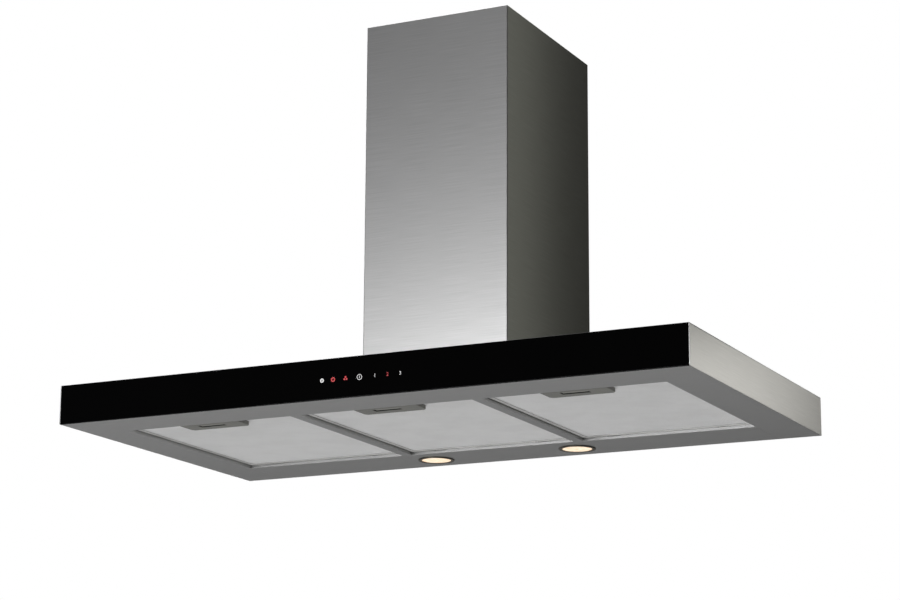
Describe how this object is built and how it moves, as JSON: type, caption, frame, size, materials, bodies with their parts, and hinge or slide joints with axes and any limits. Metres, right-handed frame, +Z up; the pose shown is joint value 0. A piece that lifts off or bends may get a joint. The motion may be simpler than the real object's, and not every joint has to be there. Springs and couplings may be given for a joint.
{
  "type": "wall-mounted range hood",
  "caption": "T-shaped wall range hood: flat canopy with black glass touch fascia, drop-down grease filters, lamps, and a telescopic chimney over a centrifugal blower.",
  "frame": {"origin": "middle of the canopy's back face, which stands against the wall", "axes": "+X to the user's right seen from the front, -Y out of the wall towards the user, +Z up; the canopy is symmetric about X = 0"},
  "size_m": [0.9, 0.5, 0.5815],
  "materials": {
    "brushed_steel": "fine horizontal brushing",
    "black_glass": "gloss, back-printed black",
    "foam_tape": "double-sided acrylic foam",
    "galvanised_steel": "hot-dip galvanised",
    "circuit_board": "solder mask",
    "black_plastic": "moulded, fine texture",
    "filter_aluminium": "expanded mesh and folded frame",
    "grey_plastic": "moulded, satin",
    "spring_steel": "bright zinc plated",
    "lamp_bezel_steel": "satin nickel",
    "lamp_glass": "frosted",
    "heatsink_aluminium": "extruded",
    "white_plastic": "moulded",
    "machined_steel": "turned or pressed",
    "rubber": "moulded"
  },
  "bodies": {
    "hood": {"canopy_shell": "brushed_steel", "underside_frame": "brushed_steel", "lamp_panel": "brushed_steel", "divider_left": "brushed_steel", "divider_right": "brushed_steel", "glass_fascia": "black_glass", "fascia_tape_lower": "foam_tape", "fascia_tape_upper": "foam_tape", "fascia_carrier": "galvanised_steel", "touch_control_board": "circuit_board", "control_module": "black_plastic", "control_module_lid": "black_plastic", "lamp_left_bezel": "lamp_bezel_steel", "lamp_left_lens": "lamp_glass", "lamp_left_led_module": "heatsink_aluminium", "hanger_plate_left": "galvanised_steel", "level_screw_left": "spring_steel", "lamp_right_bezel": "lamp_bezel_steel", "lamp_right_lens": "lamp_glass", "lamp_right_led_module": "heatsink_aluminium", "hanger_plate_right": "galvanised_steel", "level_screw_right": "spring_steel", "chimney_lower_cover": "brushed_steel", "blower_box": "galvanised_steel", "scroll_left": "black_plastic", "scroll_right": "black_plastic", "motor": "galvanised_steel", "motor_bracket": "machined_steel", "motor_bush_1": "rubber", "motor_bush_2": "rubber", "motor_bush_3": "rubber", "motor_capacitor": "white_plastic", "capacitor_clip": "galvanised_steel", "outlet_collar": "black_plastic", "damper_pin": "machined_steel", "junction_box": "black_plastic", "junction_box_lid": "black_plastic", "cable_gland": "black_plastic"},
    "upper_chimney": {"chimney_upper_cover": "brushed_steel", "chimney_wall_bracket": "galvanised_steel"},
    "fan": {"impeller": "white_plastic", "motor_shaft": "machined_steel"},
    "damper_front": {"damper_flap_front": "black_plastic"},
    "damper_rear": {"damper_flap_rear": "black_plastic"},
    "filter_1": {"filter_1_frame": "filter_aluminium", "filter_1_mesh": "filter_aluminium", "filter_1_handle": "grey_plastic", "filter_1_latch_spring": "spring_steel"},
    "filter_1_latch": {"filter_1_latch": "grey_plastic"},
    "filter_2": {"filter_2_frame": "filter_aluminium", "filter_2_mesh": "filter_aluminium", "filter_2_handle": "grey_plastic", "filter_2_latch_spring": "spring_steel"},
    "filter_2_latch": {"filter_2_latch": "grey_plastic"},
    "filter_3": {"filter_3_frame": "filter_aluminium", "filter_3_mesh": "filter_aluminium", "filter_3_handle": "grey_plastic", "filter_3_latch_spring": "spring_steel"},
    "filter_3_latch": {"filter_3_latch": "grey_plastic"}
  },
  "joints": [
    {"name": "filter_1_swing", "type": "hinge", "parent": "hood", "child": "filter_1", "pos_m": [-0.26467, -0.0988, -0.0225], "axis": [1, 0, 0], "range_deg": [0, 60]},
    {"name": "filter_1_latch_slide", "type": "slide", "parent": "filter_1", "child": "filter_1_latch", "axis": [0, 1, 0], "range_m": [0, 0.003], "stiffness_N_per_m": 400, "springref_m": -0.002, "deforming": ["filter_1_latch_spring"]},
    {"name": "filter_2_swing", "type": "hinge", "parent": "hood", "child": "filter_2", "pos_m": [0, -0.0988, -0.0225], "axis": [1, 0, 0], "range_deg": [0, 60]},
    {"name": "filter_2_latch_slide", "type": "slide", "parent": "filter_2", "child": "filter_2_latch", "axis": [0, 1, 0], "range_m": [0, 0.003], "stiffness_N_per_m": 400, "springref_m": -0.002, "deforming": ["filter_2_latch_spring"]},
    {"name": "filter_3_swing", "type": "hinge", "parent": "hood", "child": "filter_3", "pos_m": [0.26467, -0.0988, -0.0225], "axis": [1, 0, 0], "range_deg": [0, 60]},
    {"name": "filter_3_latch_slide", "type": "slide", "parent": "filter_3", "child": "filter_3_latch", "axis": [0, 1, 0], "range_m": [0, 0.003], "stiffness_N_per_m": 400, "springref_m": -0.002, "deforming": ["filter_3_latch_spring"]},
    {"name": "upper_chimney_slide", "type": "slide", "parent": "hood", "child": "upper_chimney", "axis": [0, 0, 1], "range_m": [0, 0.39]},
    {"name": "fan_spin", "type": "hinge", "parent": "hood", "child": "fan", "pos_m": [0, -0.163, 0.1533], "axis": [1, 0, 0], "continuous": true},
    {"name": "damper_front_swing", "type": "hinge", "parent": "hood", "child": "damper_front", "pos_m": [0, -0.097, 0.3594], "axis": [-1, 0, 0], "range_deg": [0, 80]},
    {"name": "damper_rear_swing", "type": "hinge", "parent": "hood", "child": "damper_rear", "pos_m": [0, -0.097, 0.3594], "axis": [1, 0, 0], "range_deg": [0, 80]}
  ]
}
